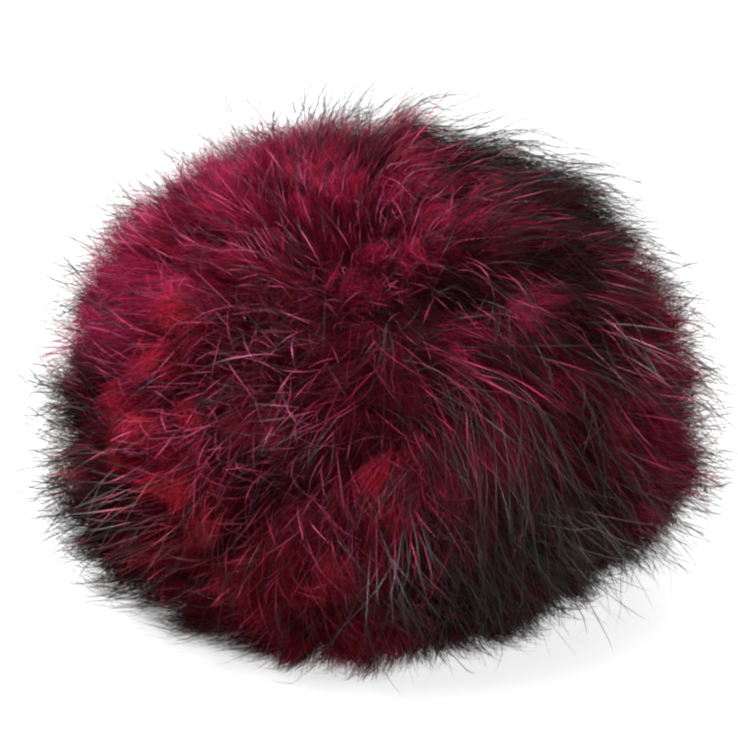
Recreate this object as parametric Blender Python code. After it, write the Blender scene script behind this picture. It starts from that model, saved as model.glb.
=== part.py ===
"""Fur pom pom: one ball of long, dyed fur, lying on a flat surface.

The solid reaches as far as the pile does. A side profile gives the ball its crown and
its fuller, sagging lower half, a few soft swells make it uneven, and pointed locks of
hair, combed away from a whorl high on the front, overlap all over it like scales.
The underside is pressed flat where the ball rests.

Metres, +Z up, front towards -Y. The origin is on the resting surface, in the middle of
the ball's footprint.
"""

import math

import bmesh
import bpy
import numpy as np
from mathutils import Vector

# Driving sizes
BALL_WIDTH = 0.132  # across the widest part of the pile, left to right
DEPTH_SHARE = 0.955  # front to back, as a share of the width
REST_HEIGHT = 0.0490  # the ball's centre above the surface it is pressed onto

# The upright outline: pile radius as a share of the half width, at each elevation.
PROFILE = (
    # elevation in degrees, radius share
    (-90.0, 0.800),
    (-62.0, 0.832),
    (-45.0, 0.880),
    (-27.0, 0.952),
    (-10.0, 0.982),
    (8.0, 0.965),
    (27.0, 0.930),
    (46.0, 0.890),
    (66.0, 0.855),
    (90.0, 0.840),
)

# Soft swells and dips that make the ball uneven.
SWELLS = (
    # azimuth from +X in degrees, elevation in degrees, height in metres, half angle in degrees
    (196.0, -27.0, 0.0075, 28.0),
    (346.0, -12.0, 0.0030, 26.0),
    (28.0, 30.0, -0.0015, 30.0),
    (262.0, 8.0, 0.0022, 34.0),
    (150.0, 24.0, 0.0010, 28.0),
    (95.0, -5.0, -0.0014, 26.0),
    (60.0, -30.0, 0.0018, 24.0),
)

# Locks of hair
LOCK_COUNT = 150
LOCK_LENGTH = 0.034
LOCK_HALF_WIDTH = 0.0115
LOCK_HEIGHT = 0.0062  # a lock's tip above the valley beside it
LOCK_SWING = 24.0  # the most that a lock turns from the combed direction, in degrees
LOCK_UNEVEN = 0.45  # how much the locks differ in height
VALLEY_DEPTH = 0.0045  # how far the valleys lie below the upright outline
PRESSED_ELEVATION = -52.0  # below this the locks are pressed flat, in degrees
PRESSED_EASE = 14.0  # and they rise to their full height over this many degrees above it
WHORL_AZIMUTH = 252.0  # where the hair parts, in degrees from +X
WHORL_ELEVATION = 54.0
SWIRL = 18.0  # how far the combed direction turns from straight away, in degrees

# Mesh
CUBE_CUTS = 24  # the ball starts as a cube with this many squares along each edge
GOLDEN_ANGLE = math.pi * (3.0 - math.sqrt(5.0))


def direction(azimuth, elevation):
    """The unit vector at an azimuth from +X and an elevation, both in degrees."""
    a, e = math.radians(azimuth), math.radians(elevation)
    return np.array((math.cos(a) * math.cos(e), math.sin(a) * math.cos(e), math.sin(e)))


def smooth_step(share):
    share = np.clip(share, 0.0, 1.0)
    return share * share * (3.0 - 2.0 * share)


def profile_radius(rays):
    """The pile's radius along each ray, from PROFILE, eased between its rows."""
    elevations = np.degrees(np.arcsin(np.clip(rays[:, 2], -1.0, 1.0)))
    rows = np.array(PROFILE)
    row = np.clip(np.searchsorted(rows[:, 0], elevations) - 1, 0, len(rows) - 2)
    share = (elevations - rows[row, 0]) / (rows[row + 1, 0] - rows[row, 0])
    share = 0.5 * share + 0.5 * smooth_step(share)
    return (rows[row, 1] * (1.0 - share) + rows[row + 1, 1] * share) * BALL_WIDTH / 2.0


def swell_height(rays):
    """The sum of the swells and dips along each ray."""
    total = np.zeros(len(rays))
    for azimuth, elevation, height, half_angle in SWELLS:
        angle = np.arccos(np.clip(rays @ direction(azimuth, elevation), -1.0, 1.0))
        total += height * smooth_step(1.0 - angle / math.radians(half_angle))
    return total


def combed(ray):
    """The way the hair lies at a ray: away from the whorl, turned by the swirl."""
    whorl = Vector(direction(WHORL_AZIMUTH, WHORL_ELEVATION))
    ray = Vector(ray)
    away = (ray * ray.dot(whorl) - whorl).normalized()
    turn = math.radians(SWIRL)
    return away * math.cos(turn) + ray.cross(away) * math.sin(turn)


def locks():
    """(centre ray, lie, side, height) of each lock, spread evenly by the golden angle."""
    found = []
    for number in range(LOCK_COUNT):
        z = 1.0 - 2.0 * (number + 0.5) / LOCK_COUNT
        ring = math.sqrt(1.0 - z * z)
        turn = number * GOLDEN_ANGLE
        centre = Vector((ring * math.cos(turn), ring * math.sin(turn), z))
        # Unlike sines of the number stand in for chance, the same on every run.
        swing = math.radians(LOCK_SWING) * math.sin(number * 2.3 + math.sin(number * 5.1))
        lie = combed(centre)
        side = centre.cross(lie)
        lie, side = (
            lie * math.cos(swing) + side * math.sin(swing),
            side * math.cos(swing) - lie * math.sin(swing),
        )
        height = LOCK_HEIGHT * (1.0 - LOCK_UNEVEN * (0.5 + 0.5 * math.sin(number * 1.7)))
        found.append((centre, lie, side, height))
    return found


def lock_height(rays):
    """How far the highest lock stands above the valleys along each ray."""
    half = BALL_WIDTH / 2.0
    highest = np.zeros(len(rays))
    for centre, lie, side, height in locks():
        # A lock rises from its root at along = 0 to its pointed tip at along = 1.
        along = (rays @ np.array(lie)) * half / LOCK_LENGTH + 0.5
        across = (rays @ np.array(side)) * half
        width = LOCK_HALF_WIDTH * np.sqrt(np.clip(1.0 - along, 1e-6, None) * 1.3)
        arch = np.clip(1.0 - (across / width) ** 2, 0.0, None)
        rise = smooth_step(along / 0.8)
        covers = (rays @ np.array(centre) > 0.0) & (along > 0.0) & (along < 1.0)
        highest = np.maximum(highest, np.where(covers, height * rise * arch, 0.0))
    return highest


def pressed(rays):
    """0 where the ball is pressed against the surface, 1 where its locks are free."""
    elevations = np.degrees(np.arcsin(np.clip(rays[:, 2], -1.0, 1.0)))
    return smooth_step((elevations - PRESSED_ELEVATION) / PRESSED_EASE)


def cube_sphere():
    """A mesh of nearly even squares on the unit sphere."""
    ball = bmesh.new()
    bmesh.ops.create_cube(ball, size=2.0)
    bmesh.ops.subdivide_edges(
        ball, edges=ball.edges[:], cuts=CUBE_CUTS - 1, use_grid_fill=True
    )
    for vertex in ball.verts:
        # The tangent evens out the squares between a face's middle and its corners.
        even = Vector([math.tan(x * math.pi / 4.0) for x in vertex.co])
        vertex.co = even.normalized()
    return ball


def shape(ball):
    """Moves the unit sphere's vertices out to the pile, centred REST_HEIGHT up."""
    ball.verts.ensure_lookup_table()
    rays = np.array([vertex.co for vertex in ball.verts])
    relief = (lock_height(rays) - VALLEY_DEPTH) * pressed(rays)
    radius = profile_radius(rays) + swell_height(rays) + relief
    points = rays * radius[:, None] * (1.0, DEPTH_SHARE, 1.0)
    for vertex, point in zip(ball.verts, points, strict=True):
        vertex.co = Vector(point) + Vector((0.0, 0.0, REST_HEIGHT))


def centre_on_footprint(ball):
    """Puts the origin in the middle of the ball's outline as seen from above."""
    for axis in (0, 1):
        values = [vertex.co[axis] for vertex in ball.verts]
        middle = (min(values) + max(values)) / 2.0
        for vertex in ball.verts:
            vertex.co[axis] -= middle


def fur_material():
    """Deep wine-red fur: soft, rough and not metallic."""
    material = bpy.data.materials.new("dyed_fur")
    material.use_nodes = True
    surface = material.node_tree.nodes["Principled BSDF"]
    surface.inputs["Base Color"].default_value = (0.16, 0.012, 0.028, 1.0)
    surface.inputs["Roughness"].default_value = 0.75
    surface.inputs["Metallic"].default_value = 0.0
    return material


def surface_block(collection):
    """The block under the resting surface, which cuts the ball's flat spot."""
    mesh = bpy.data.meshes.new("surface_block")
    block = bmesh.new()
    bmesh.ops.create_cube(block, size=2.0 * BALL_WIDTH)
    bmesh.ops.translate(block, verts=block.verts[:], vec=(0.0, 0.0, -BALL_WIDTH))
    block.to_mesh(mesh)
    block.free()
    cutter = bpy.data.objects.new("surface_block", mesh)
    cutter.hide_render = True
    cutter.display_type = "WIRE"
    collection.objects.link(cutter)
    return cutter


def fur_ball(collection, cutter):
    ball = cube_sphere()
    shape(ball)
    centre_on_footprint(ball)
    mesh = bpy.data.meshes.new("fur_ball")
    ball.to_mesh(mesh)
    ball.free()
    mesh.materials.append(fur_material())
    mesh.shade_smooth()
    fur = bpy.data.objects.new("fur_ball", mesh)
    collection.objects.link(fur)
    flat_spot = fur.modifiers.new("flat_spot", "BOOLEAN")
    flat_spot.operation = "DIFFERENCE"
    flat_spot.object = cutter


def new_collection(name):
    collection = bpy.data.collections.new(name)
    bpy.context.scene.collection.children.link(collection)
    return collection


def main():
    for item in list(bpy.data.objects):
        bpy.data.objects.remove(item)
    cutter = surface_block(new_collection("cutters"))
    fur_ball(new_collection("fur_pom_pom"), cutter)


main()
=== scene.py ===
"""Looks of the fur pom pom: an undercoat, soft underfur, and long guard hairs over it.

Every hair is a narrow ribbon of mesh. Its root sits below the pile's outer surface, which
is read from the frame, and it is combed over the ball away from a whorl high on the
front. A table of zones says how the hair is dyed and how it lies in each place.
Lengths are in metres and angles in degrees.
"""

import math
from collections import namedtuple

import bmesh
import bpy
import numpy as np
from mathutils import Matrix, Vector
from mathutils.bvhtree import BVHTree
from mathutils.kdtree import KDTree


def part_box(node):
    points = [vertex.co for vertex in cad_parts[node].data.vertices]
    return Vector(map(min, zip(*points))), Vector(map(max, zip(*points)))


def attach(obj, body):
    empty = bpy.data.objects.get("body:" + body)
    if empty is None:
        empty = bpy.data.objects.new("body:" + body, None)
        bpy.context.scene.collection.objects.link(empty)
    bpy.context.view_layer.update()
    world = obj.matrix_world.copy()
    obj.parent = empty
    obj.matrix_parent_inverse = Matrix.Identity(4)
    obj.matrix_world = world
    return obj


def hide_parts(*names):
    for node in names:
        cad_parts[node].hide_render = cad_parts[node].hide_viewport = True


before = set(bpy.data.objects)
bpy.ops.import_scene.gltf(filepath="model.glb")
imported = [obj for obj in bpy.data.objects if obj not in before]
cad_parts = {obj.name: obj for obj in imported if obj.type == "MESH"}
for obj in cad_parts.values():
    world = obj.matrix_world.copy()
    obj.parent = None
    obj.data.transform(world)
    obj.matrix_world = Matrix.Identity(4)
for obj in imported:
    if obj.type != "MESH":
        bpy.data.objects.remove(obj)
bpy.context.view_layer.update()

# The ball, from the frame
LOW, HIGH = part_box("fur_ball")
SIZE = HIGH - LOW
MIDDLE_HEIGHT = 0.468  # where the hair grows out from, as a share of the ball's height
CENTRE = Vector(((LOW.x + HIGH.x) / 2, (LOW.y + HIGH.y) / 2, LOW.z + MIDDLE_HEIGHT * SIZE.z))
LOWEST_HAIR = LOW.z + 0.0004  # just clear of the floor
FLOOR_SCATTER = 0.0012  # hairs that would go lower stop at most this far above it

# Where the hair parts, and how it lies
WHORL_AZIMUTH = 254.0
WHORL_ELEVATION = 60.0
WHORL_SPREAD = 34.0  # within this angle of the whorl the hair stands up more and more
WHORL_TRAVEL = 0.2  # how much of its travel over the ball it keeps at the whorl itself
DRIFT = 0.6  # how far the lie wanders over the ball, as a share of the zone's swing
SWING_BEND = 40.0  # the zone's swing at which a kind's hairs bend as much as stated
MOST_BEND = 1.7  # and the most times that they bend by it, however large the swing
HIGHEST_TIP = 0.0130  # above the pile's outer surface

# How the hair gathers into locks
HIGHEST_LOCK = 0.0016  # the most a lock stands up out of the pile
LOCK_CHANCE = 0.7  # how far chance spreads the locks' lean and rise
PATCH_RISE = 0.45  # how much more locks rise in the pile's thick patches
# painted light and shade: locks in the thick patches, which stand higher, are painted lighter, and those in
# the thin places darker
PATCH_PAINTED_LIGHT = 0.42  # and how much lighter they are there
PULL_POWER = 1.4  # over 1, so hairs are drawn to their lock mostly near their tips
HEIGHT_PULL = 0.6  # they are drawn less in height than sideways

# Where hairs grow
NUDGE = 1.6  # how far chance moves a hair from its even place, in spacings
CANDIDATES = 3  # places tried for each hair that grows
STRANGERS = 0.12  # the least chance of a hair where the zone favours the other kinds
FEW_BELOW = 0.04  # what is left of a kind's hairs below its lowest

# How a hair's shading leans from its own round form
OUT_LIGHT = 0.35  # towards the ball's outside
LOCK_LIGHT = 0.8  # and away from its lock's middle
LOCK_RADIUS = 0.004
EDGE_LEAN = math.radians(48.0)  # of the ribbon's two edges, which makes it look round

# A hair's width, as a share of its kind's
HAIR_WIDTHS = (0.65, 1.35)
ROOT_WIDTH = 0.4
TAPER_POWER = 1.2  # over 1, so it narrows mostly near the tip

# How the dye is spread
DYED_ALONE = 0.25  # the share of hairs that are dyed apart from their lock
DYE_WARP = 0.10  # how far the dyed zones' edges wander, as a share of the ball's radius
BLOTCH_DEPTH = 0.18  # how much the dye lightens and darkens from place to place
ZONE_FALLOFF = 1.6  # how fast a zone counts for less away from its middle
ZONE_SHARPNESS = 1.5  # over 1, so dyes mingle less than the other values blend
DEEP_DYED = 0.08  # the share of underfur that is dark wine in every zone
DARK_UNDERFUR = 0.30  # the share of underfur with dark tips where all guard hairs are dark
UNDER_DYED_BRIGHT = 0.2  # the share of dyed guard hairs that take the underfur's dye
UNDER_DYED_DARK = 0.3  # and the share of dark guard hairs that do
DARK_DYES = ("black", "charcoal", "grey")

# How far up a hair its dark tip starts: past 1 there is none
UNDERFUR_DARK_START = 0.75
NO_DARK_TIP = 1.6
DYED_GUARD_START = (0.80, 1.30)
DARK_GUARD_START = (0.15, 0.60)
SHORTEST_DARK = 0.05

# Hair colours: each is a band of the palette.
DYES = (
    # name, red, green, blue
    ("crimson", 0.340, 0.0115, 0.028),
    ("scarlet", 0.250, 0.018, 0.020),
    ("magenta", 0.300, 0.016, 0.064),
    ("rose", 0.310, 0.0130, 0.044),
    ("ruby", 0.210, 0.010, 0.021),
    ("wine", 0.130, 0.0088, 0.0175),
    ("dark_wine", 0.052, 0.0078, 0.0108),
    ("plum", 0.095, 0.008, 0.024),
    # pink, on guard hairs, is a real dye, but its lightest shades also stand for painted glints along the
    # hairs
    ("pink", 0.440, 0.060, 0.150),
    ("salmon", 0.300, 0.032, 0.045),
    ("grey", 0.055, 0.050, 0.051),
    ("charcoal", 0.027, 0.0235, 0.0235),
    ("black", 0.013, 0.0115, 0.0115),
)
DYE_NUMBER = {row[0]: number for number, row in enumerate(DYES)}

# How the hair is dyed and how it lies, zone by zone. Between zones the values blend.
# After a zone's name come its middle's azimuth and elevation, its half angle, and the dyes
# of its underfur and of its guard hairs. Then the columns below, in this order:
#   dark: the share of dark hairs
#   turn: the lie's angle from straight away from the whorl
#   swing: how far hairs swing about the lie
#   travel: how far hairs reach over the ball
#   rise and reach: how much higher all hairs end, and the longer kinds on top of that
#   tone: how much lighter the hair is
#   guards: how thickly guard hairs grow
ZONE_COLUMNS = ("dark", "turn", "swing", "travel", "rise", "reach", "tone", "guards")
ZONE_PLACE = ("name", "azimuth", "elevation", "half_angle", "under_dye", "guard_dye")
Zone = namedtuple("Zone", ZONE_PLACE + ZONE_COLUMNS)
ZONE_TABLE = (
    ("whorl", 254, 62, 14, "rose", "pink", 0.50, 0, 140, 0.010, 0.000, 0.000, -0.24, 0.9),
    ("left_of_whorl", 214, 61, 22, "rose", "pink", 0.45, 10, 120, 0.010, 0.000, 0.000, -0.18, 0.50),
    # the magenta is the real dye; its lighter tone here is partly painted light, for light shining through
    # the fringe at this edge
    ("upper_left", 199, 37, 20, "magenta", "pink", 0.20, -25, 100, 0.007, 0.003, 0.004, 0.26, 0.50),
    ("upper_left_front", 216, 38, 12, "crimson", "pink", 0.30, -40, 110, 0.008, 0.000, 0.001, -0.05, 0.70),
    ("upper_left_back", 165, 50, 20, "magenta", "pink", 0.25, -10, 90, 0.007, 0.000, 0.003, 0.08, 0.45),
    ("left", 222, 13, 18, "crimson", "pink", 0.20, -40, 120, 0.007, 0.001, 0.001, 0.06, 1.1),
    ("centre_left", 240, 35, 18, "wine", "pink", 0.75, -50, 110, 0.010, 0.000, 0.000, -0.38, 1.0),
    ("left_edge", 197, -8, 17, "dark_wine", "black", 0.92, -50, 30, 0.014, -0.001, 0.005, -0.25, 1.0),
    ("left_of_middle", 246, 12, 15, "wine", "pink", 0.50, -35, 120, 0.008, -0.001, 0.000, -0.26, 1.2),
    ("middle", 278, 6, 10, "crimson", "pink", 0.40, 0, 60, 0.012, 0.000, 0.000, -0.02, 1.0),
    ("below_middle", 284, -14, 13, "dark_wine", "charcoal", 0.65, 8, 50, 0.018, -0.001, 0.000, -0.05, 1.0),
    ("lower_left", 237, -10, 17, "ruby", "salmon", 0.35, -45, 120, 0.007, 0.000, 0.000, 0.06, 0.60),
    ("lower_left_edge", 201, -36, 15, "dark_wine", "black", 0.95, -75, 20, 0.022, 0.001, 0.003, -0.25, 1.0),
    ("bottom_left", 228, -50, 16, "dark_wine", "black", 0.85, -95, 18, 0.022, 0.006, 0.000, -0.10, 1.0),
    ("bottom_front", 258, -44, 18, "ruby", "plum", 0.45, -40, 50, 0.010, 0.005, -0.004, 0.05, 0.8),
    ("top", 290, 74, 20, "rose", "pink", 0.40, -30, 85, 0.011, -0.003, -0.002, 0.00, 0.50),
    ("top_edge", 120, 74, 18, "rose", "charcoal", 0.85, -45, 35, 0.020, -0.001, 0.003, 0.00, 1.0),
    ("top_back", 45, 70, 22, "dark_wine", "black", 0.95, -38, 20, 0.024, -0.003, 0.002, -0.05, 1.0),
    ("top_right", 5, 52, 22, "dark_wine", "black", 0.95, -20, 22, 0.022, 0.000, 0.003, -0.15, 1.0),
    ("upper_right", 322, 46, 18, "dark_wine", "charcoal", 0.80, -15, 45, 0.016, 0.000, 0.000, -0.05, 0.6),
    # painted shade: the hollow is sunk into the pile and is also dyed dark and toned down, for the shadow
    # under the lock above it
    ("hollow", 284, 43, 10, "dark_wine", "black", 0.80, 28, 35, 0.014, -0.007, 0.000, -0.40, 0.6),
    ("by_hollow", 300, 35, 8, "magenta", "pink", 0.35, 0, 60, 0.010, 0.000, 0.000, -0.12, 0.6),
    ("right_edge", 350, 20, 17, "ruby", "charcoal", 0.45, 30, 36, 0.016, 0.000, 0.006, 0.05, 0.7),
    ("right_low_edge", 337, 2, 13, "magenta", "pink", 0.40, 30, 36, 0.016, 0.000, 0.006, -0.03, 0.7),
    ("right_tufts", 340, -15, 12, "scarlet", "charcoal", 0.60, 24, 26, 0.016, 0.001, 0.007, -0.08, 0.8),
    ("centre", 268, 31, 16, "wine", "magenta", 0.60, 10, 95, 0.012, 0.000, 0.000, -0.18, 0.9),
    ("centre_right", 296, 20, 20, "wine", "grey", 0.94, -24, 26, 0.028, 0.000, 0.001, -0.02, 1.0),
    ("right_middle", 318, 14, 18, "wine", "charcoal", 0.65, -35, 60, 0.016, 0.000, 0.000, 0.03, 0.45),
    ("bottom_middle", 256, -16, 20, "ruby", "magenta", 0.40, -10, 70, 0.012, 0.001, -0.001, 0.00, 0.9),
    ("lower_right", 300, -18, 22, "dark_wine", "charcoal", 0.75, 14, 32, 0.022, 0.000, 0.000, 0.12, 0.9),
    ("bottom_right", 316, -42, 24, "dark_wine", "black", 0.92, 20, 26, 0.018, 0.001, 0.001, 0.05, 1.0),
    ("back_right", 40, 15, 34, "wine", "charcoal", 0.60, 0, 40, 0.018, 0.000, 0.003, 0.05, 0.8),
    ("back", 85, 10, 34, "ruby", "plum", 0.50, 0, 60, 0.014, 0.000, 0.002, -0.05, 0.8),
    ("back_left", 140, 15, 30, "crimson", "charcoal", 0.45, 0, 80, 0.011, 0.000, 0.003, -0.10, 0.8),
    ("back_low", 90, -35, 40, "dark_wine", "charcoal", 0.70, 0, 36, 0.016, 0.000, 0.001, 0.10, 0.8),
    ("underside", 0, -90, 34, "dark_wine", "charcoal", 0.80, 0, 30, 0.012, 0.000, -0.008, 0.00, 0.8),
)
ZONES = [Zone(*row) for row in ZONE_TABLE]

# The kinds of hair. Heights are measured from the pile's outer surface.
#   count: hairs in each of its pieces, points: along each hair, guides: its locks
#   dark_hairs: 1 if it grows where the zone is dark, 0 if where it isn't
#   depth: of the root; tip: its height, where a tip_power over 1 makes high ones rarer
#   lock_rise: how far locks differ in height; reaches: how much of the zone's reach it has
#   travel_share: of the zone's travel, but it never travels more than longest
#   clump: how far it is drawn to its lock; bend: how far it curls sideways
#   rise: over 1, it comes up out of the pile early; turnover: over 1, it lies over late
#   roll: how far its ribbon is turned about its length; widest: how far up it is widest
#   lock_swing and own_swing: how far its locks and its hairs use the zone's swing
#   shade_of_lock: how far it shares its lock's shade; shade_power: over 1, most are darker
#   tone_share: how much of the zone's tone it has
#   thinned: True if it heeds the zone's guards
#   lowest: few grow on rays whose upward part is less than this; -1 is straight down
KINDS = {
    "underfur": dict(
        pieces=2, count=65000, points=3, guides=1100, width=0.00010, dark_hairs=0.5,
        depth=(0.009, 0.013), tip=(-0.0045, 0.0000), lock_rise=0.0032, reaches=0.3,
        travel_share=(0.35, 1.00), clump=(0.30, 0.85), bend=24.0, rise=2.2, turnover=2.4,
        roll=45.0, lock_swing=0.8, own_swing=0.35, widest=0.50, shade_of_lock=0.72,
        shade_power=1.3, tone_share=1.3, thinned=False, longest=0.0065, tip_power=1.0, lowest=-1.0,
    ),
    "long_underfur": dict(
        pieces=2, count=38000, points=4, guides=900, width=0.00008, dark_hairs=0.4,
        depth=(0.008, 0.012), tip=(-0.0035, 0.0012), lock_rise=0.0026, reaches=0.7,
        travel_share=(0.40, 1.10), clump=(0.15, 0.70), bend=24.0, rise=2.0, turnover=1.8,
        roll=50.0, lock_swing=0.8, own_swing=0.40, widest=0.45, shade_of_lock=0.65,
        shade_power=1.3, tone_share=1.2, thinned=False, longest=0.012, tip_power=1.0, lowest=-1.0,
    ),
    "dyed_guard": dict(
        pieces=1, count=4600, points=6, guides=420, width=0.00014, dark_hairs=0.0,
        depth=(0.004, 0.009), tip=(-0.0020, 0.0025), lock_rise=0.0012, reaches=1.0,
        travel_share=(0.50, 1.60), clump=(0.00, 0.45), bend=14.0, rise=1.5, turnover=1.25,
        roll=50.0, lock_swing=0.6, own_swing=0.60, widest=0.55, shade_of_lock=0.2,
        shade_power=1.5, tone_share=0.6, thinned=True, longest=0.050, tip_power=1.0, lowest=-1.0,
    ),
    "dark_guard": dict(
        pieces=1, count=8000, points=7, guides=420, width=0.00012, dark_hairs=1.0,
        depth=(0.005, 0.012), tip=(-0.0018, 0.0040), lock_rise=0.0014, reaches=1.0,
        travel_share=(0.60, 1.30), clump=(0.00, 0.40), bend=12.0, rise=1.6, turnover=1.25,
        roll=50.0, lock_swing=0.6, own_swing=0.45, widest=0.50, shade_of_lock=0.3,
        shade_power=1.3, tone_share=0.7, thinned=True, longest=0.050, tip_power=1.0, lowest=-1.0,
    ),
    "stray_hair": dict(
        pieces=1, count=4400, points=6, guides=60, width=0.00014, dark_hairs=0.8,
        depth=(0.002, 0.006), tip=(0.0020, 0.0130), lock_rise=0.0, reaches=0.8,
        travel_share=(0.40, 1.30), clump=(0.0, 0.20), bend=10.0, rise=1.2, turnover=1.15,
        roll=80.0, lock_swing=0.5, own_swing=0.5, widest=0.60, shade_of_lock=0.0,
        shade_power=1.0, tone_share=0.0, thinned=False, longest=0.050, tip_power=1.7, lowest=-0.30,
    ),
}

UNDERCOAT_DEPTH = 0.0105  # about as far below the outer surface as the roots are
UNDERCOAT_CUTS = 30  # faces along each side of the cube that it is blown up from
UNDERCOAT_RIPPLE = 0.0012

# The palette: UV positions stand for colours. Across it each dye has a band, from its
# darkest shade to its lightest. Up it, a hair goes from its root, darkened with painted
# shade, to its dark tip.
UV_NAME = "OFBake"
STRIP_HALF_WIDTH = 0.9 / 1024
PALETTE_EDGE = 0.004
DARK_FROM = 0.55  # above this height in the palette a hair turns to its dark tip
SHADE_MARGIN = 0.16  # kept clear at both sides of each band
SHADE_SPAN, SHADE_BRIGHTNESS = (0.1, 0.9), (0.29, 1.88)
# painted shade: each hair is painted darker towards its root, as if shaded deep in the pile
PAINTED_ROOT_SHADE_SPAN, PAINTED_ROOT_SHADE = (0.05, 0.50), (0.34, 1.0)
TIP_SPAN = (0.50, 0.70)
# The dark tips run from black to charcoal grey with the hair's shade; the greyer ones stand partly for
# painted highlight on black hair
DARKEST_TIP = (0.006, 0.0054, 0.0056, 1.0)
LIGHTEST_TIP = (0.022, 0.0190, 0.0200, 1.0)

GOLDEN_ANGLE = math.pi * (3.0 - math.sqrt(5.0))

# Slow waves over the ball: the direction that each runs in, with its pitch, its shift, and
# its share in the sum.
DRIFT_WAVES = (
    ((5.1, -3.7, 4.3), 0.7, 0.35),
    ((-4.2, 6.3, 2.9), 2.1, 0.35),
    ((9.7, 7.1, -8.3), 4.0, 0.25),
    ((-7.9, 8.8, 9.9), 5.2, 0.25),
)
PATCH_WAVES = (
    ((27.0, -19.0, 15.0), 1.3, 0.5),
    ((-17.0, 24.0, 21.0), 0.4, 0.5),
    ((14.0, 31.0, -22.0), 3.1, 0.5),
    ((33.0, 9.0, 18.0), 5.0, 0.5),
)
BLOTCH_WAVES = (
    ((13.0, -9.0, 7.0), 2.2, 0.5),
    ((-8.0, 12.0, 11.0), 5.4, 0.5),
    ((7.0, 15.0, -10.0), 0.8, 0.5),
    ((16.0, 5.0, 9.0), 3.7, 0.5),
)
WARP_WAVES = (
    ((9.0, 14.0, -5.0), 1.0, 1.0),
    ((-13.0, 6.0, 10.0), 2.7, 1.0),
    ((7.0, -11.0, 12.0), 4.9, 1.0),
)


# ---------------------------------------------------------------- small vector helpers


def direction(azimuth, elevation):
    a, e = math.radians(azimuth), math.radians(elevation)
    return np.array((math.cos(a) * math.cos(e), math.sin(a) * math.cos(e), math.sin(e)))


WHORL = direction(WHORL_AZIMUTH, WHORL_ELEVATION)


def unit(vectors):
    length = np.linalg.norm(vectors, axis=-1, keepdims=True)
    return vectors / np.maximum(length, 1e-12)


def smooth_step(share):
    share = np.clip(share, 0.0, 1.0)
    return share * share * (3.0 - 2.0 * share)


def between(low_high, random, count, power=1.0):
    low, high = low_high
    return low + (high - low) * random.random(count) ** power


def steps_along(kind):
    """From 0 at a hair's root to 1 at its tip, one value for each of its points."""
    return np.linspace(0.0, 1.0, kind["points"])[None, :]


def spread(count, random):
    """Directions spread evenly over the whole ball, each nudged a little by chance."""
    number = np.arange(count)
    z = 1.0 - 2.0 * (number + 0.5) / count
    ring = np.sqrt(1.0 - z * z)
    turn = number * GOLDEN_ANGLE
    even = np.stack((ring * np.cos(turn), ring * np.sin(turn), z), axis=1)
    nudge = NUDGE / math.sqrt(count)
    return unit(even + random.normal(0.0, nudge, even.shape))


def waves(rays, table):
    return sum(share * np.sin(rays @ pitch + shift) for pitch, shift, share in table)


# ---------------------------------------------------------------- the pile's outer surface


class OuterSurface:
    """The distance from the ball's centre to the frame's surface, in every direction."""

    ROWS = 91
    COLUMNS = 180
    BLUR_STEPS = 3

    def __init__(self, node):
        vertices = [vertex.co.copy() for vertex in node.data.vertices]
        faces = [tuple(face.vertices) for face in node.data.polygons]
        tree = BVHTree.FromPolygons(vertices, faces)
        grid = np.zeros((self.ROWS, self.COLUMNS))
        for row in range(self.ROWS):
            elevation = -90.0 + 180.0 * row / (self.ROWS - 1)
            for column in range(self.COLUMNS):
                ray = Vector(direction(360.0 * column / self.COLUMNS, elevation))
                grid[row, column] = tree.ray_cast(CENTRE, ray)[3]
        for _ in range(self.BLUR_STEPS):
            grid = self.blurred(grid)
        self.grid = grid

    @staticmethod
    def blurred(grid):
        grid = (np.roll(grid, 1, 1) + 2.0 * grid + np.roll(grid, -1, 1)) / 4.0
        padded = np.vstack((grid[:1], grid, grid[-1:]))
        return (padded[:-2] + 2.0 * padded[1:-1] + padded[2:]) / 4.0

    def radius(self, rays):
        elevation = np.degrees(np.arcsin(np.clip(rays[..., 2], -1.0, 1.0)))
        azimuth = np.degrees(np.arctan2(rays[..., 1], rays[..., 0])) % 360.0
        row = (elevation + 90.0) / 180.0 * (self.ROWS - 1)
        column = azimuth / 360.0 * self.COLUMNS
        low_row = np.clip(np.floor(row).astype(int), 0, self.ROWS - 2)
        low_column = np.floor(column).astype(int) % self.COLUMNS
        next_column = (low_column + 1) % self.COLUMNS
        up, across = row - low_row, column - np.floor(column)
        lower = self.grid[low_row, low_column] * (1 - across)
        lower += self.grid[low_row, next_column] * across
        upper = self.grid[low_row + 1, low_column] * (1 - across)
        upper += self.grid[low_row + 1, next_column] * across
        return lower * (1 - up) + upper * up


# ---------------------------------------------------------------- zones


def zone_weights(rays):
    """How much each zone counts at each ray; a row sums to 1."""
    centres = np.array([direction(zone.azimuth, zone.elevation) for zone in ZONES])
    half_angles = np.radians([zone.half_angle for zone in ZONES])
    angle = np.arccos(np.clip(rays @ centres.T, -1.0, 1.0))
    weights = np.exp(-ZONE_FALLOFF * (angle / half_angles) ** 2) + 1e-6
    return weights / weights.sum(axis=1, keepdims=True)


def zone_values(weights):
    """Every zone column, blended, at each ray."""
    table = np.array([zone[-len(ZONE_COLUMNS) :] for zone in ZONES], float)
    blended = weights @ table
    return {name: blended[:, column] for column, name in enumerate(ZONE_COLUMNS)}


def zone_pick(weights, random):
    """One zone for each ray, drawn by weight, so that the dyes mingle at their edges."""
    sharp = weights**ZONE_SHARPNESS
    sharp = np.cumsum(sharp / sharp.sum(axis=1, keepdims=True), axis=1)
    draw = random.random(len(weights))[:, None]
    return np.minimum((sharp < draw).sum(axis=1), len(ZONES) - 1)


# ---------------------------------------------------------------- the lie of the hair


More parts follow.
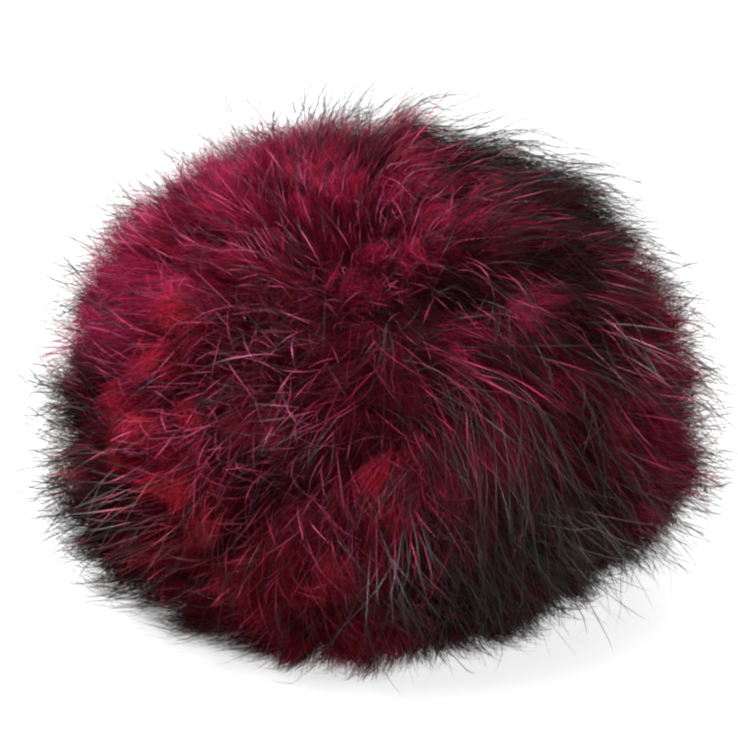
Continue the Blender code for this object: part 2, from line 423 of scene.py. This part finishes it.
def combed(rays, turn):
    """Unit tangents: away from the whorl, turned by an angle about the ray."""
    away = unit(rays * (rays @ WHORL)[:, None] - WHORL)
    side = np.cross(rays, away)
    angle = np.radians(turn)[:, None]
    return away * np.cos(angle) + side * np.sin(angle)


def drift(rays):
    """A slow wander over the ball, mostly between -1 and 1."""
    return waves(rays, DRIFT_WAVES)


def patches(rays):
    """Thicker and thinner places in the pile, about 12 mm apart, mostly from -1 to 1."""
    return waves(rays, PATCH_WAVES)


def blotches(rays):
    """Where the dye has taken more or less, about 22 mm apart, mostly from -1 to 1."""
    return waves(rays, BLOTCH_WAVES)


def warped(rays):
    """The rays pushed about a little, which gives the dyed zones ragged edges."""
    push = np.stack([waves(rays, (wave,)) for wave in WARP_WAVES], axis=1)
    return unit(rays + DYE_WARP * push)


def kept_travel(rays):
    """How much of its travel a hair keeps: little at the whorl, all of it further off."""
    from_whorl = np.degrees(np.arccos(np.clip(rays @ WHORL, -1.0, 1.0)))
    return WHORL_TRAVEL + (1.0 - WHORL_TRAVEL) * smooth_step(from_whorl / WHORL_SPREAD)


def laid_paths(kind, rays, lean, rise, surface, random):
    """(ray, height) at each point of each hair, from its root to its tip."""
    count = len(rays)
    zone = zone_values(zone_weights(rays))
    lie = combed(rays, zone["turn"] + (DRIFT * drift(rays) + lean) * zone["swing"])
    rise = rise + zone["rise"] + kind["reaches"] * zone["reach"]
    travel = zone["travel"] * between(kind["travel_share"], random, count)
    travel = np.minimum(travel * kept_travel(rays), kind["longest"])
    depth = between(kind["depth"], random, count)
    tip = between(kind["tip"], random, count, kind["tip_power"]) + rise
    tip = np.minimum(tip, HIGHEST_TIP)
    bend = np.radians(kind["bend"] * np.minimum(zone["swing"] / SWING_BEND, MOST_BEND))
    bend = bend * random.normal(0.0, 1.0, count)
    step = steps_along(kind)
    angle = (travel / surface.radius(rays))[:, None] * step ** kind["turnover"]
    curl = bend[:, None] * step
    side = np.cross(rays, lie)
    along = lie[:, None] * np.cos(curl)[..., None] + side[:, None] * np.sin(curl)[..., None]
    path = rays[:, None] * np.cos(angle)[..., None] + along * np.sin(angle)[..., None]
    height = -depth[:, None] + (depth + tip)[:, None] * (1.0 - (1.0 - step) ** kind["rise"])
    return path, height


def placed(path, height, surface):
    return np.array(CENTRE) + path * (surface.radius(path) + height)[..., None]


class Locks:
    """The leading hairs that the others of their kind are drawn to."""

    def __init__(self, kind, surface, random):
        count = kind["guides"]
        self.rays = spread(count, random)
        self.lean = kind["lock_swing"] * random.normal(0.0, LOCK_CHANCE, count)
        patch = patches(self.rays)
        chance = random.normal(0.0, LOCK_CHANCE, count)
        self.rise = np.minimum(kind["lock_rise"] * (chance + PATCH_RISE * patch), HIGHEST_LOCK)
        # each lock's shade: at random, plus painted light where the pile is thick and painted shade where
        # it is thin
        self.shade = np.clip(random.random(count) + PATCH_PAINTED_LIGHT * patch, 0.0, 1.0)
        self.path, self.height = laid_paths(
            kind, self.rays, self.lean, self.rise, surface, random
        )
        self.points = placed(self.path, self.height, surface)
        self.tree = KDTree(count)
        for number, ray in enumerate(self.rays):
            self.tree.insert(ray, number)
        self.tree.balance()

    def nearest(self, rays):
        return np.array([self.tree.find(ray)[1] for ray in rays])


def roots(kind, random):
    """The rays that a kind's hairs grow along, fewer where its zone favours others."""
    count = kind["count"]
    rays = spread(CANDIDATES * count, random)
    zone = zone_values(zone_weights(rays))
    share = kind["dark_hairs"]
    favoured = share * zone["dark"] + (1.0 - share) * (1.0 - zone["dark"])
    wanted = STRANGERS + (1.0 - STRANGERS) * favoured
    if kind["thinned"]:
        wanted = wanted * zone["guards"]
    wanted = np.where(rays[:, 2] < kind["lowest"], FEW_BELOW * wanted, wanted)
    order = np.argsort(random.random(len(rays)) / wanted)
    return rays[np.sort(order[:count])]


def hair_points(kind, rays, locks, surface, random):
    """Each hair's points and their rays, drawn part of the way towards its lock."""
    lock = locks.nearest(rays)
    lean = locks.lean[lock] + kind["own_swing"] * random.normal(0.0, 1.0, len(rays))
    path, height = laid_paths(kind, rays, lean, locks.rise[lock], surface, random)
    pull = between(kind["clump"], random, len(rays))[:, None] * steps_along(kind) ** PULL_POWER
    path = unit(path + pull[..., None] * (locks.path[lock] - path))
    height = height + HEIGHT_PULL * pull * (locks.height[lock] - height)
    points = placed(path, height, surface)
    lowest = LOWEST_HAIR + FLOOR_SCATTER * random.random((len(rays), 1))
    points[..., 2] = np.maximum(points[..., 2], lowest)
    return points, path, lock


# ---------------------------------------------------------------- hair colour


def dyes_and_starts(kind_name, picked, dark, random):
    """Each hair's dye, and how far up it its dark tip starts."""
    under_dye = np.array([DYE_NUMBER[zone.under_dye] for zone in ZONES])[picked]
    guard_dye = np.array([DYE_NUMBER[zone.guard_dye] for zone in ZONES])[picked]
    count = len(picked)
    draw = random.random(count)
    if kind_name in ("underfur", "long_underfur"):
        dye = np.where(draw > 1.0 - DEEP_DYED, DYE_NUMBER["dark_wine"], under_dye)
        start = np.where(draw < DARK_UNDERFUR * dark, UNDERFUR_DARK_START, NO_DARK_TIP)
    elif kind_name == "dyed_guard":
        undyed = np.isin(guard_dye, [DYE_NUMBER[name] for name in DARK_DYES])
        dye = np.where(undyed | (draw < UNDER_DYED_BRIGHT), under_dye, guard_dye)
        start = between(DYED_GUARD_START, random, count)
    else:
        dye = np.where(draw < UNDER_DYED_DARK, under_dye, guard_dye)
        start = between(DARK_GUARD_START, random, count)
        start = np.where(dye == DYE_NUMBER["grey"], NO_DARK_TIP, start)
    return dye, start


def heights_in_palette(kind, start):
    """How far up the palette each hair's points reach, given where its dark tip starts."""
    step, start = steps_along(kind), start[:, None]
    dyed_part = DARK_FROM * step / start
    past_start = (step - start) / np.maximum(1.0 - start, SHORTEST_DARK)
    up = np.where(step < start, dyed_part, DARK_FROM + (1.0 - DARK_FROM) * past_start)
    return np.clip(up, PALETTE_EDGE, 1.0 - PALETTE_EDGE)


def palette_places(kind_name, rays, lock, locks, kind, random):
    """Each hair's place across the palette and how far up it its points reach."""
    count = len(rays)
    weights = zone_weights(warped(rays))
    own_zone = zone_pick(weights, random)
    lock_zone = zone_pick(zone_weights(warped(locks.rays)), random)[lock]
    picked = np.where(random.random(count) < DYED_ALONE, own_zone, lock_zone)
    zone = zone_values(weights)
    dye, start = dyes_and_starts(kind_name, picked, zone["dark"], random)
    share = kind["shade_of_lock"]
    shade = share * locks.shade[lock] + (1.0 - share) * random.random(count)
    tone = kind["tone_share"] * (zone["tone"] + BLOTCH_DEPTH * blotches(rays))
    shade = np.clip(shade + tone, 0.0, 1.0) ** kind["shade_power"]
    shade = SHADE_MARGIN + (1.0 - 2.0 * SHADE_MARGIN) * shade
    return (dye + shade) / len(DYES), heights_in_palette(kind, start)


def math_node(nodes, links, operation, first, second):
    node = nodes.new("ShaderNodeMath")
    node.operation = operation
    links.new(first, node.inputs[0])
    node.inputs[1].default_value = second
    return node.outputs[0]


def range_node(nodes, links, value, span, result, smooth=False):
    node = nodes.new("ShaderNodeMapRange")
    if smooth:
        node.interpolation_type = "SMOOTHSTEP"
    links.new(value, node.inputs["Value"])
    node.inputs["From Min"].default_value, node.inputs["From Max"].default_value = span
    node.inputs["To Min"].default_value, node.inputs["To Max"].default_value = result
    return node.outputs["Result"]


def scaled_colour(nodes, links, colour, factor):
    node = nodes.new("ShaderNodeVectorMath")
    node.operation = "SCALE"
    links.new(colour, node.inputs[0])
    links.new(factor, node.inputs["Scale"])
    return node.outputs[0]


def mixed_colour(nodes, links, factor, first, second):
    node = nodes.new("ShaderNodeMix")
    node.data_type = "RGBA"
    links.new(factor, node.inputs["Factor"])
    for socket, colour in ((node.inputs[6], first), (node.inputs[7], second)):
        if isinstance(colour, tuple):
            socket.default_value = colour
        else:
            links.new(colour, socket)
    return node.outputs[2]


def dye_bands(nodes, links, across):
    """The dyes side by side, each as wide as the next."""
    node = nodes.new("ShaderNodeValToRGB")
    ramp = node.color_ramp
    ramp.interpolation = "CONSTANT"
    ramp.elements[0].color = (*DYES[0][1:], 1.0)
    ramp.elements.remove(ramp.elements[1])
    for number, row in enumerate(DYES[1:], start=1):
        ramp.elements.new(number / len(DYES)).color = (*row[1:], 1.0)
    links.new(across, node.inputs[0])
    return node.outputs[0]


def hair_material(name, roughness, specular, tint):
    """Dyed hair: the palette read at each hair's own place in it."""
    material = bpy.data.materials.new(name)
    material.use_nodes = True
    nodes, links = material.node_tree.nodes, material.node_tree.links
    surface = nodes["Principled BSDF"]
    place = nodes.new("ShaderNodeUVMap")
    place.uv_map = UV_NAME
    split = nodes.new("ShaderNodeSeparateXYZ")
    links.new(place.outputs[0], split.inputs[0])
    across, up = split.outputs["X"], split.outputs["Y"]
    dyes = dye_bands(nodes, links, across)
    bands = math_node(nodes, links, "MULTIPLY", across, float(len(DYES)))
    shade = math_node(nodes, links, "FRACT", bands, 0.0)
    brightness = range_node(nodes, links, shade, SHADE_SPAN, SHADE_BRIGHTNESS)
    dyed = scaled_colour(nodes, links, dyes, brightness)
    # painted shade, darkening each hair towards its root
    root = range_node(nodes, links, up, PAINTED_ROOT_SHADE_SPAN, PAINTED_ROOT_SHADE, smooth=True)
    dyed = scaled_colour(nodes, links, dyed, root)
    # dark tips, greyer with the hair's shade: partly painted highlight
    tips = mixed_colour(nodes, links, shade, DARKEST_TIP, LIGHTEST_TIP)
    darkness = range_node(nodes, links, up, TIP_SPAN, (0.0, 1.0), smooth=True)
    links.new(mixed_colour(nodes, links, darkness, dyed, tips), surface.inputs["Base Color"])
    surface.inputs["Roughness"].default_value = roughness
    surface.inputs["Specular IOR Level"].default_value = specular
    surface.inputs["Specular Tint"].default_value = (*tint, 1.0)
    return material


# ---------------------------------------------------------------- hair meshes


def ribbon_frame(points, path, roll):
    """(width direction, face normal) at each point of each hair."""
    along = unit(np.gradient(points, axis=1))
    across = np.cross(along, unit(path))
    straight_out = np.linalg.norm(across, axis=-1, keepdims=True) < 0.05
    across = unit(np.where(straight_out, np.cross(along, (0.3, 0.2, 0.93)), across))
    facing = np.cross(across, along)
    turn = roll[:, None, None]
    width = across * np.cos(turn) + facing * np.sin(turn)
    normal = facing * np.cos(turn) - across * np.sin(turn)
    return width, normal


def taper(step, widest):
    """A hair's width at each step up it, as a share of its widest."""
    thickening = ROOT_WIDTH + (1.0 - ROOT_WIDTH) * smooth_step(step / widest)
    thinning = 1.0 - (np.maximum(step - widest, 0.0) / (1.0 - widest)) ** TAPER_POWER
    return np.where(step < widest, thickening, thinning)


def by_vertex(left, right, middle):
    """Values in the order of a ribbon's vertices: left and right up to the tip, then it."""
    count, steps, size = middle.shape
    values = np.empty((count, 2 * steps - 1, size), np.float32)
    values[:, 0:-1:2] = left[:, :-1]
    values[:, 1:-1:2] = right[:, :-1]
    values[:, -1] = middle[:, -1]
    return values


def ribbon_normals(width_way, normal, outward):
    """The ribbons are lit as round hairs on rounded locks."""
    flat = normal * math.cos(EDGE_LEAN)
    bent = width_way * math.sin(EDGE_LEAN)
    left, right = unit(flat - bent + outward), unit(flat + bent + outward)
    return by_vertex(left, right, unit(normal + outward))


def palette_map(across, up):
    """The UV position of each vertex."""
    across = np.broadcast_to(across[:, None], up.shape)
    left = np.stack((across - STRIP_HALF_WIDTH, up), axis=-1)
    right = np.stack((across + STRIP_HALF_WIDTH, up), axis=-1)
    return by_vertex(left, right, np.stack((across, up), axis=-1))


def ribbon_faces(count, rows):
    """(vertex numbers round each face, face sizes): quads and a triangle at each tip."""
    quads = np.array([(2 * r, 2 * r + 1, 2 * r + 3, 2 * r + 2) for r in range(rows - 1)])
    tip = np.array((2 * rows - 2, 2 * rows - 1, 2 * rows))
    pattern = np.concatenate((quads.ravel(), tip))
    first = np.arange(count) * (2 * rows + 1)
    loops = (first[:, None] + pattern[None, :]).ravel()
    sizes = np.tile(np.array([4] * (rows - 1) + [3]), count)
    return loops, sizes


def built_mesh(name, corners, loops, sizes):
    starts = np.concatenate(([0], np.cumsum(sizes)[:-1]))
    mesh = bpy.data.meshes.new(name)
    mesh.vertices.add(corners.shape[0] * corners.shape[1])
    mesh.vertices.foreach_set("co", corners.ravel())
    mesh.loops.add(len(loops))
    mesh.loops.foreach_set("vertex_index", loops.astype(np.int32))
    mesh.polygons.add(len(sizes))
    mesh.polygons.foreach_set("loop_start", starts.astype(np.int32))
    mesh.polygons.foreach_set("loop_total", sizes.astype(np.int32))
    mesh.update(calc_edges=True)
    return mesh


def ribbon_piece(name, points, path, outward, across, up, kind, random):
    """One piece made of tapering ribbons, one for each hair."""
    count, steps = points.shape[:2]
    roll = np.radians(kind["roll"]) * (2.0 * random.random(count) - 1.0)
    width_way, normal = ribbon_frame(points, path, roll)
    thickness = kind["width"] * between(HAIR_WIDTHS, random, count)
    half = (thickness[:, None] * taper(steps_along(kind), kind["widest"]))[..., None] / 2.0
    corners = by_vertex(points - width_way * half, points + width_way * half, points)
    normals = ribbon_normals(width_way, normal, outward)
    loops, sizes = ribbon_faces(count, steps - 1)
    mesh = built_mesh(name, corners, loops, sizes)
    layer = mesh.uv_layers.new(name=UV_NAME)
    layer.data.foreach_set("uv", palette_map(across, up).reshape(-1, 2)[loops].ravel())
    mesh.shade_smooth()
    mesh.normals_split_custom_set_from_vertices(normals.reshape(-1, 3))
    made = bpy.data.objects.new(name, mesh)
    bpy.context.scene.collection.objects.link(made)
    return made


def make_hair(kind_name, surface, material, seed):
    """All the pieces of one kind of hair, which share their locks."""
    kind = KINDS[kind_name]
    random = np.random.default_rng(seed)
    locks = Locks(kind, surface, random)
    for number in range(kind["pieces"]):
        rays = roots(kind, random)
        points, path, lock = hair_points(kind, rays, locks, surface, random)
        from_lock = points - locks.points[lock]
        outward = OUT_LIGHT * path + LOCK_LIGHT * from_lock / LOCK_RADIUS
        across, up = palette_places(kind_name, rays, lock, locks, kind, random)
        name = f"{kind_name}_{number + 1}"
        piece = ribbon_piece(name, points, path, outward, across, up, kind, random)
        piece.data.materials.append(material)
        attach(piece, "root")


# ---------------------------------------------------------------- the undercoat


def undercoat_material():
    """The densest fur at the hairs' roots: deep wine with finer streaks, partly its dye and partly painted
    shade deep in the pile.
    """
    material = bpy.data.materials.new("undercoat")
    material.use_nodes = True
    nodes, links = material.node_tree.nodes, material.node_tree.links
    surface = nodes["Principled BSDF"]
    position = nodes.new("ShaderNodeTexCoord")
    noise = nodes.new("ShaderNodeTexNoise")
    noise.inputs["Scale"].default_value = 260.0
    noise.inputs["Detail"].default_value = 4.0
    links.new(position.outputs["Object"], noise.inputs["Vector"])
    ramp = nodes.new("ShaderNodeValToRGB")
    # deep wine, partly the dye and partly painted shade deep in the pile
    ramp.color_ramp.elements[0].position = 0.35
    ramp.color_ramp.elements[0].color = (0.020, 0.002, 0.004, 1.0)
    ramp.color_ramp.elements[1].position = 0.70
    ramp.color_ramp.elements[1].color = (0.120, 0.005, 0.020, 1.0)
    links.new(noise.outputs["Fac"], ramp.inputs[0])
    links.new(ramp.outputs[0], surface.inputs["Base Color"])
    bump = nodes.new("ShaderNodeBump")
    bump.inputs["Strength"].default_value = 0.6
    bump.inputs["Distance"].default_value = 0.001
    links.new(noise.outputs["Fac"], bump.inputs["Height"])
    links.new(bump.outputs[0], surface.inputs["Normal"])
    surface.inputs["Roughness"].default_value = 0.9
    surface.inputs["Specular IOR Level"].default_value = 0.1
    return material


def make_undercoat(surface):
    """A closed ball under the hair, blown up from a cube so that its faces are even."""
    ball = bmesh.new()
    bmesh.ops.create_cube(ball, size=2.0)
    bmesh.ops.subdivide_edges(
        ball, edges=ball.edges[:], cuts=UNDERCOAT_CUTS - 1, use_grid_fill=True
    )
    cube = np.array([vertex.co for vertex in ball.verts])
    rays = unit(np.tan(cube * math.pi / 4.0))
    ripple = np.sin(rays[:, 0] * 23.0 + 5.0 * rays[:, 2]) * np.sin(rays[:, 1] * 19.0)
    depth = UNDERCOAT_DEPTH - UNDERCOAT_RIPPLE * ripple
    points = placed(rays, -depth, surface)
    points[:, 2] = np.maximum(points[:, 2], LOWEST_HAIR)
    for vertex, point in zip(ball.verts, points, strict=True):
        vertex.co = point
    mesh = bpy.data.meshes.new("undercoat")
    ball.to_mesh(mesh)
    ball.free()
    mesh.shade_smooth()
    mesh.materials.append(undercoat_material())
    made = bpy.data.objects.new("undercoat", mesh)
    bpy.context.scene.collection.objects.link(made)
    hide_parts("fur_ball")
    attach(made, "root")


# ---------------------------------------------------------------- stage, lights and camera

WHITE = (1.0, 1.0, 1.0, 1.0)
FLOOR_SIZE = 8.0
FLOOR_GREY = (0.35, 0.35, 0.35, 1.0)
FLOOR_GLOW = 0.78
ROOM_LIGHT = 0.45
LIGHTS = (
    # name, azimuth, elevation, distance, width, power
    ("overhead", 240.0, 78.0, 1.3, 1.4, 26.0),
    ("key", 232.0, 46.0, 1.2, 0.40, 11.0),
    ("fill", 305.0, 30.0, 1.4, 0.8, 5.0),
    ("back", 110.0, 40.0, 1.4, 0.8, 4.0),
)
SOFTNESS = 2.5  # of the picture, in pixels
CAMERA_ELEVATION = 25.0
CAMERA_DISTANCE = 0.50
FRAME_WIDTH = 0.1476  # what the frame takes in at the ball
LOOK_LEFT = 0.0018  # the ball sits a little right of the frame's middle
LOOK_UP = 0.0042  # and a little below it
SENSOR_WIDTH = 36.0


def make_floor():
    bpy.ops.mesh.primitive_plane_add(size=FLOOR_SIZE, location=(0.0, 0.0, 0.0))
    floor = bpy.context.object
    floor.name = "floor"
    material = bpy.data.materials.new("floor")
    material.use_nodes = True
    surface = material.node_tree.nodes["Principled BSDF"]
    surface.inputs["Base Color"].default_value = FLOOR_GREY
    surface.inputs["Roughness"].default_value = 0.9
    surface.inputs["Emission Color"].default_value = WHITE
    surface.inputs["Emission Strength"].default_value = FLOOR_GLOW
    floor.data.materials.append(material)
    floor.visible_diffuse = False
    floor.visible_glossy = False


def area_light(name, azimuth, elevation, distance, width, power):
    data = bpy.data.lights.new(name, "AREA")
    data.shape = "DISK"
    data.size = width
    data.energy = power
    light = bpy.data.objects.new(name, data)
    back = Vector(direction(azimuth, elevation))
    light.location = CENTRE + back * distance
    light.rotation_euler = back.to_track_quat("Z", "Y").to_euler()
    bpy.context.scene.collection.objects.link(light)


def make_lights():
    for row in LIGHTS:
        area_light(*row)
    world = bpy.data.worlds.new("soft_room")
    world.use_nodes = True
    world.node_tree.nodes["Background"].inputs["Color"].default_value = WHITE
    world.node_tree.nodes["Background"].inputs["Strength"].default_value = ROOM_LIGHT
    bpy.context.scene.world = world
    bpy.context.scene.view_settings.view_transform = "Standard"
    bpy.context.scene.cycles.filter_width = SOFTNESS


def make_camera():
    e = math.radians(CAMERA_ELEVATION)
    back = Vector((0.0, -math.cos(e), math.sin(e)))
    up = Vector((0.0, math.sin(e), math.cos(e)))
    target = CENTRE + up * LOOK_UP - Vector((LOOK_LEFT, 0.0, 0.0))
    data = bpy.data.cameras.new("camera")
    data.sensor_width = SENSOR_WIDTH
    data.lens = SENSOR_WIDTH * CAMERA_DISTANCE / FRAME_WIDTH
    data.clip_start = 0.01
    camera = bpy.data.objects.new("camera", data)
    camera.location = target + back * CAMERA_DISTANCE
    camera.rotation_euler = back.to_track_quat("Z", "Y").to_euler()
    bpy.context.scene.collection.objects.link(camera)
    bpy.context.scene.camera = camera


# ---------------------------------------------------------------- the whole ball

outer_surface = OuterSurface(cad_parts["fur_ball"])
make_camera()
make_floor()
make_lights()
make_undercoat(outer_surface)
soft = hair_material("underfur", 0.9, 0.0, (1.0, 1.0, 1.0))
dyed = hair_material("dyed_guard_hair", 0.32, 0.25, (1.0, 0.50, 0.70))
dark = hair_material("dark_guard_hair", 0.28, 0.30, (1.0, 0.95, 0.96))
make_hair("underfur", outer_surface, soft, seed=11)
make_hair("long_underfur", outer_surface, soft, seed=17)
make_hair("dyed_guard", outer_surface, dyed, seed=23)
make_hair("dark_guard", outer_surface, dark, seed=29)
make_hair("stray_hair", outer_surface, dark, seed=37)
